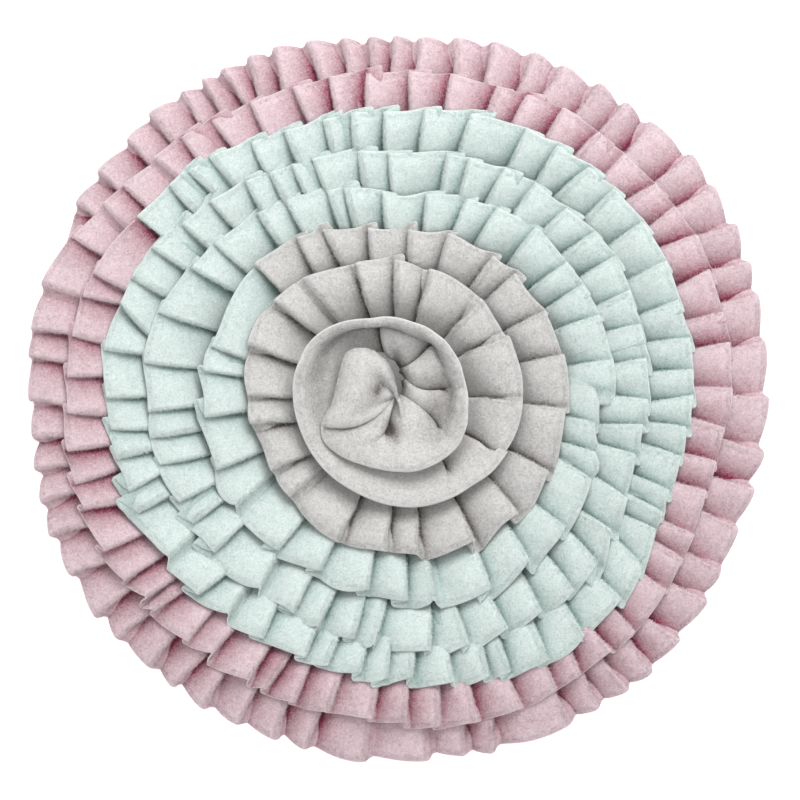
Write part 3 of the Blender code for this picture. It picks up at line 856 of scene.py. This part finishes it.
def closed_sheet(name, points, shade, across):
    """Closed mesh of a sheet around a grid of points, its free edge rounded."""
    columns, rows = points.shape[:2]
    normals = grid_normals(points) * half_thickness(across)
    rim = points[:, -1] + unit(points[:, -1] - points[:, -2]) * FLEECE * RIM_ROUND
    under = (points - normals)[:, ::-1]
    rings = np.concatenate((points + normals, rim[:, None], under), axis=1)
    # The rim ring gets the painted highlight of the cut edge
    tones = np.concatenate((shade, np.full((columns, 1), RIM_PAINTED_LIGHT), shade[:, ::-1]), axis=1)
    size = rings.shape[1]
    index = np.arange(columns * size).reshape(columns, size)
    following = np.roll(index, -1, axis=1)
    quads = np.stack((index[:-1], index[1:], following[1:], following[:-1]), axis=-1)
    caps, tips = [], []
    for ring, turn in ((index[0], 1), (index[-1], -1)):
        for row in range(rows - 1):
            quad = (ring[row], ring[row + 1], ring[size - 2 - row], ring[size - 1 - row])
            caps.append(quad[::turn])
        tips.append(ring[rows - 1:rows + 2][::turn])
    faces = (quads.reshape(-1, 4), np.array(caps), np.array(tips))
    return mesh_object(name, rings.reshape(-1, 3), faces, tones)


def nap(name, points, shade, seen, rows, generator):
    """Short fibres standing on the sheet's upper side, as one joined mesh."""
    normals = grid_normals(points)
    over = points + normals * half_thickness(rows)
    a, b, c, d = over[:-1, :-1], over[1:, :-1], over[1:, 1:], over[:-1, 1:]
    area = np.linalg.norm(np.cross(c - a, d - b), axis=-1) / 2
    across = np.array(rows)
    middle = ((across[:-1] + across[1:]) / 2)[None, :]
    thick = (middle > NAP_EDGE_ROWS) | (seen > 1.0)[:-1, None]
    density = np.where(thick, NAP_AT_EDGES, NAP_DENSITY)
    weight = area * (middle > NAP_FROM) * density
    weight = weight * np.minimum((seen[:-1] + seen[1:]) / 2, 1.0)[:, None]
    weight = weight * (normals[:-1, :-1, 2] > NAP_LEAST_TILT)
    count = int(min(NAP_LIMIT, weight.sum()))
    cells = generator.choice(weight.size, size=count, p=(weight / weight.sum()).ravel())
    column, row = np.unravel_index(cells, weight.shape)
    u = generator.random((count, 1))
    v = generator.random((count, 1))
    root = ((1 - u) * (1 - v) * a[column, row] + u * (1 - v) * b[column, row]
            + u * v * c[column, row] + (1 - u) * v * d[column, row])
    normal = normals[column, row]
    out = unit(d[column, row] - a[column, row])
    along = np.cross(normal, out)
    crest = np.clip((seen[column] - 1.0) / (CREST_SEEN - 1.0), 0.0, 1.0)[:, None]
    lean = generator.normal(0.0, NAP_LEAN, (count, 2))
    heading = unit(normal * generator.uniform(*NAP_STAND, (count, 1))
                   + out * (lean[:, :1] + NAP_OUTWARD)
                   + along * (lean[:, 1:] + NAP_OVER * crest))
    side = unit(np.cross(heading, generator.normal(0.0, 1.0, (count, 3))))
    half = side * NAP_WIDTH / 2 * generator.uniform(*NAP_WIDTHS, (count, 1))
    length = NAP_LENGTH * generator.uniform(*NAP_LENGTHS, (count, 1))
    tip = root + heading * (length * (1.0 + NAP_AT_CREST * crest))
    facing = np.einsum("ij,ij->i", np.cross(half, tip - root), normal)
    half[facing < 0.0] *= -1.0
    vertices = np.stack((root - half, root + half, tip), axis=1).reshape(-1, 3)
    # The fibres' tone: a share of the sheet's painted shade, a random spread, painted light on
    # crest fibres, and darker roots and lighter tips
    tone = (shade[column, row] * NAP_SHADE_SHARE + generator.normal(0.0, TONE_SPREAD, count)
            - CREST_PAINTED_LIGHT * crest[:, 0])
    tones = np.stack((tone + ROOT_TONE, tone + ROOT_TONE, tone + TIP_TONE), axis=1)
    fibres = mesh_object(name, vertices, (np.arange(3 * count).reshape(-1, 3),), tones)
    soft = normal + (0.0, 0.0, NAP_UPWARD) + generator.normal(0.0, NAP_ROUGH, (count, 3))
    fibres.data.normals_split_custom_set_from_vertices(np.repeat(unit(soft), 3, axis=0))
    return fibres


# ---- Materials ----

FLEECE_COLOURS = {
    # colour: (lit nap, painted shade colour deep in a fold)
    "pink": ((0.80, 0.655, 0.695), (0.27, 0.03, 0.075)),
    "mint": ((0.755, 0.84, 0.815), (0.17, 0.30, 0.275)),
    "grey": ((0.715, 0.71, 0.695), (0.10, 0.08, 0.07)),
}
# Noises: scale in waves per metre, detail, roughness
CLUMPS = (330.0, 3.0, 0.6)
FIBRES = (1000.0, 3.0, 0.7)
TUFTS = (700.0, 6.0, 0.7)
# The nap's mottle, in shares of the way from the lit colour to the painted
# shade colour, and how far towards the painted shade a plain panel lies
CLUMP_SHARE = 0.34
FIBRE_SHARE = 1.02
PLAIN_DEPTH = 0.136
# Bumps: strength, and distance in metres
FLEECE_BUMP = (0.35, 0.0005)
FELT_BUMP = (0.4, 0.0004)
FELT_COLOUR = (0.55, 0.54, 0.53)
# The felt's mottle: places on the ramp, and their shares of the colour
FELT_RAMP = ((0.3, 0.72), (0.7, 1.12))
THREAD_COLOUR = (0.75, 0.74, 0.72, 1.0)


def set_inputs(tree, node, inputs):
    """Set a node's inputs to values, or link them to sockets."""
    for name, value in inputs.items():
        if isinstance(value, bpy.types.NodeSocket):
            tree.links.new(value, node.inputs[name])
        else:
            node.inputs[name].default_value = value


def add_node(tree, kind, inputs, **settings):
    node = tree.nodes.new(f"ShaderNode{kind}")
    for name, value in settings.items():
        setattr(node, name, value)
    set_inputs(tree, node, inputs)
    return node


def dress(material, inputs):
    """Set inputs of a material's shader."""
    tree = material.node_tree
    set_inputs(tree, tree.nodes["Principled BSDF"], inputs)


def new_material(name, inputs):
    material = bpy.data.materials.new(name)
    material.use_nodes = True
    dress(material, inputs)
    return material


def noise(tree, place, scale, detail, roughness):
    return add_node(tree, "TexNoise", {"Vector": place, "Scale": scale, "Detail": detail,
                                       "Roughness": roughness}).outputs["Fac"]


def combine(tree, operation, first, second):
    return add_node(tree, "Math", {0: first, 1: second}, operation=operation).outputs[0]


def cover(material, colour, height, strength, distance):
    """Link a colour and a bump to a material's shader."""
    bump = add_node(material.node_tree, "Bump", {"Strength": strength, "Distance": distance,
                                                 "Height": height})
    dress(material, {"Base Color": colour, "Normal": bump.outputs["Normal"]})


def fleece_material(colour):
    """Soft nap: lit fibres with painted shade in the folds, from the shade attribute, and
    mottled darker between the clumps.
    """
    material = new_material(f"{colour}_fleece_nap", {
        "Roughness": 0.95, "Specular IOR Level": 0.1, "Sheen Weight": 0.2,
        "Sheen Roughness": 0.6})
    tree = material.node_tree
    lit, painted_shade_colour = FLEECE_COLOURS[colour]
    place = add_node(tree, "TexCoord", {}).outputs["Object"]
    clumps = noise(tree, place, *CLUMPS)
    fibres = noise(tree, place, *FIBRES)
    mottle = combine(tree, "ADD", combine(tree, "MULTIPLY", clumps, CLUMP_SHARE),
                     combine(tree, "MULTIPLY", fibres, FIBRE_SHARE))
    middle = 0.5 * (CLUMP_SHARE + FIBRE_SHARE) + PLAIN_DEPTH
    spread = combine(tree, "SUBTRACT", middle, mottle)
    # The shade attribute carries painted shade: it mixes the lit colour towards the painted
    # shade colour
    depth = add_node(tree, "Attribute", {}, attribute_name="shade")
    share = combine(tree, "ADD", depth.outputs["Fac"], spread)
    mix = add_node(tree, "Mix", {"Factor": share, "A": (*lit, 1.0), "B": (*painted_shade_colour, 1.0)},
                   data_type="RGBA")
    cover(material, mix.outputs["Result"], mottle, *FLEECE_BUMP)
    return material


def felt_material():
    material = new_material("felt", {"Base Color": (*FELT_COLOUR, 1.0), "Roughness": 0.95})
    tree = material.node_tree
    place = add_node(tree, "TexCoord", {}).outputs["Object"]
    tufts = noise(tree, place, *TUFTS)
    ramp = add_node(tree, "ValToRGB", {"Fac": tufts})
    for element, (position, share) in zip(ramp.color_ramp.elements, FELT_RAMP):
        element.position = position
        element.color = (*(share * part for part in FELT_COLOUR), 1.0)
    cover(material, ramp.outputs["Color"], tufts, *FELT_BUMP)
    return material


# ---- The pieces ----


def build_strip(node, start, end, colour, slant, fold_start, material, rng, generator):
    start_angle, end_angle = travel(*start), travel(*end)
    rosette = node == "grey_rosette"
    if rosette:
        pleats = rosette_pleats(start_angle, end_angle, slant)
    else:
        pleats = ruffle_pleats(start_angle, end_angle, slant, rng)
    # Painted light on the strip's first panel
    pleats[0]["tone"] = START_PAINTED_LIGHT.get(node, 0.0)
    columns = strip_columns(pleats, colour, fold_start, END_COVERED.get(node, 0.0))
    for shifts, tip in ((START_SHIFTS, start_angle), (END_SHIFTS, end_angle)):
        if node in shifts:
            shift, turn, clock = shifts[node]
            level = travel(turn, clock)
            share = (columns["turn"] - level) / (tip - level)
            columns["reach"] += shift * np.clip(share, 0.0, 1.0)
    if rosette:
        columns["seen"] = np.minimum(columns["seen"], 1.0)
        rows = ROSETTE_ROWS
        # Where the rosette opens, its painted shade fades out fully
        points, shade = strip_grid(columns, rows, colour, rosette_section, 1.0, rng)
        gather_rosette(points, shade, columns["turn"], rows)
    else:
        rows = RUFFLE_ROWS
        points, shade = strip_grid(columns, rows, colour, ruffle_section, OPEN_LIGHT, rng)
    sheet = closed_sheet(f"{node}_cloth", points, shade, rows)
    sheet.data.materials.append(material)
    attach(sheet, "root")
    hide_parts(node)
    fibres = nap(f"{node}_nap", points, shade, columns["seen"], rows, generator)
    fibres.data.materials.append(material)
    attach(fibres, "root")


def build_base_cloth(material):
    """The felt round, its edge rounded and faintly uneven, just clear of the floor."""
    inward, drop = BASE_ROUND
    profile = [(BASE_RADIUS * share, BASE_THICKNESS) for share in BASE_RINGS]
    profile += [(BASE_RADIUS - inward, BASE_THICKNESS - drop),
                (BASE_RADIUS, BASE_THICKNESS / 2), (BASE_RADIUS - inward, UNDERSIDE + drop)]
    profile += [(BASE_RADIUS * share, UNDERSIDE) for share in reversed(BASE_RINGS)]
    angle = np.linspace(0.0, math.tau, BASE_STEPS, endpoint=False)[:, None]
    radius, height = np.array(profile).T[:, None, :]
    uneven = 1.0
    for waves, phase, share in BASE_WAVES:
        uneven = uneven - share * (1.0 + np.sin(waves * angle + phase))
    ring = polar(radius * uneven, angle, height)
    rings = ring.shape[1]
    index = np.arange(BASE_STEPS * rings).reshape(BASE_STEPS, rings)
    following = np.roll(index, -1, axis=0)
    quads = np.stack((index[:, :-1], index[:, 1:], following[:, 1:], following[:, :-1]),
                     axis=-1).reshape(-1, 4)
    top, bottom = BASE_STEPS * rings, BASE_STEPS * rings + 1
    caps = np.concatenate((
        np.stack((index[:, 0], following[:, 0], np.full(BASE_STEPS, top)), axis=1),
        np.stack((following[:, -1], index[:, -1], np.full(BASE_STEPS, bottom)), axis=1)))
    points = np.concatenate((ring.reshape(-1, 3), [(0, 0, BASE_THICKNESS), (0, 0, UNDERSIDE)]))
    cloth = mesh_object("base_cloth_felt", points, (quads[:, ::-1], caps[:, ::-1]))
    cloth.data.materials.append(material)
    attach(cloth, "root")
    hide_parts("base_cloth")


def stitches(name, route, material):
    """Short rounded stitches along a route of points, as one joined mesh."""
    steps = np.linalg.norm(np.diff(route, axis=0), axis=1)
    reached = np.concatenate(([0.0], np.cumsum(steps)))
    places = np.arange(0.0, reached[-1] - STITCH_LENGTH, STITCH_PITCH)
    starts, ends = (np.stack([np.interp(places + part, reached, route[:, axis])
                              for axis in range(3)], axis=1) for part in (0.0, STITCH_LENGTH))
    aside = np.cross(unit(ends - starts), (0.0, 0.0, 1.0)) * STITCH_WIDTH / 2
    up = np.array((0.0, 0.0, STITCH_RISE))
    middle = (starts + ends) / 2
    corners = (starts, middle + aside, ends, middle - aside, middle + up, middle - up)
    vertices = np.stack(corners, axis=1).reshape(-1, 3)
    cells = np.array(((0, 1, 4), (1, 2, 4), (2, 3, 4), (3, 0, 4),
                      (1, 0, 5), (2, 1, 5), (3, 2, 5), (0, 3, 5)))
    faces = (cells[None] + 6 * np.arange(len(starts))[:, None, None]).reshape(-1, 3)
    thread = mesh_object(name, vertices, (faces,))
    thread.data.materials.append(material)
    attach(thread, "root")


def build_base():
    """The base cloth with the sewing under it: the strips' spiral and the rim."""
    build_base_cloth(felt_material())
    thread = new_material("thread", {"Base Color": THREAD_COLOUR, "Roughness": 0.6})
    rim = BASE_RADIUS - RIM_SEAM_INSET
    turn = np.arange(0.0, travel(*STRIPS[-1][2]), 1.0)
    reach = table_at(SLOPE_TABLE, turn)[0]
    radius = np.clip(edge_radius(turn) - reach, LEAST_SEAM_RADIUS, rim - SEAM_SPACING)
    spiral = polar(radius, np.radians(TURN_START + turn), UNDERSIDE)
    stitches("spiral_stitches", spiral, thread)
    stitches("rim_stitches", polar(rim, np.radians(np.arange(0.0, 361.0)), UNDERSIDE), thread)


def build_ruffles():
    rng = random.Random(SEED)
    generator = np.random.default_rng(SEED)
    materials = {colour: fleece_material(colour) for colour in FLEECE_COLOURS}
    for strip in STRIPS:
        build_strip(*strip, materials[strip[3]], rng, generator)


# ---- Stage: floor, light and camera ----

PHOTO_SIDE = 800
MM_PER_PIXEL = 0.518
CAMERA_HEIGHT = 2.0
MAT_LEVEL = 0.018
SENSOR = 36.0
MAT_CENTRE_PIXEL = (400.0, 397.0)
FLOOR_SIDE = 6.0
FLOOR_DROP = 0.0002
FLOOR_GLOW = 0.55
SKY_STRENGTH = 0.67
WHITE = (1.0, 1.0, 1.0, 1.0)
LIGHTS = (
    # name, place, size, power
    ("key", (0.4, 1.35, 1.6), 1.2, 30.0),
    ("fill", (-1.4, -0.6, 1.9), 1.5, 2.5),
)


def build_camera():
    camera = bpy.data.cameras.new("camera")
    view_width = PHOTO_SIDE * MM_PER_PIXEL * MM
    camera.sensor_width = SENSOR
    camera.lens = SENSOR * (CAMERA_HEIGHT - MAT_LEVEL) / view_width
    camera.clip_start = 0.1
    obj = new_object("camera", camera)
    shift = [(PHOTO_SIDE / 2 - pixel) * MM_PER_PIXEL * MM for pixel in MAT_CENTRE_PIXEL]
    obj.location = (shift[0], -shift[1], CAMERA_HEIGHT)
    bpy.context.scene.camera = obj


def build_floor():
    side = FLOOR_SIDE
    mesh = bpy.data.meshes.new("floor")
    corners = [(-side, -side, 0), (side, -side, 0), (side, side, 0), (-side, side, 0)]
    mesh.from_pydata(corners, [], [(0, 1, 2, 3)])
    floor = new_object("floor", mesh)
    floor.location.z = -FLOOR_DROP
    mesh.materials.append(new_material("floor_white", {
        "Base Color": (0.9, 0.9, 0.9, 1.0), "Roughness": 0.9, "Emission Color": WHITE,
        "Emission Strength": FLOOR_GLOW}))


def build_light():
    world = bpy.data.worlds.new("studio")
    bpy.context.scene.world = world
    world.use_nodes = True
    tree = world.node_tree
    set_inputs(tree, tree.nodes["Background"], {"Color": WHITE, "Strength": SKY_STRENGTH})
    for name, place, size, power in LIGHTS:
        light = bpy.data.lights.new(name, "AREA")
        light.size = size
        light.energy = power
        obj = new_object(name, light)
        obj.location = place
        tilt = math.atan2(math.hypot(place[0], place[1]), place[2])
        obj.rotation_euler = (tilt, 0.0, math.atan2(place[0], -place[1]))
    bpy.context.scene.view_settings.view_transform = "Standard"


build_camera()
build_floor()
build_light()
build_base()
build_ruffles()
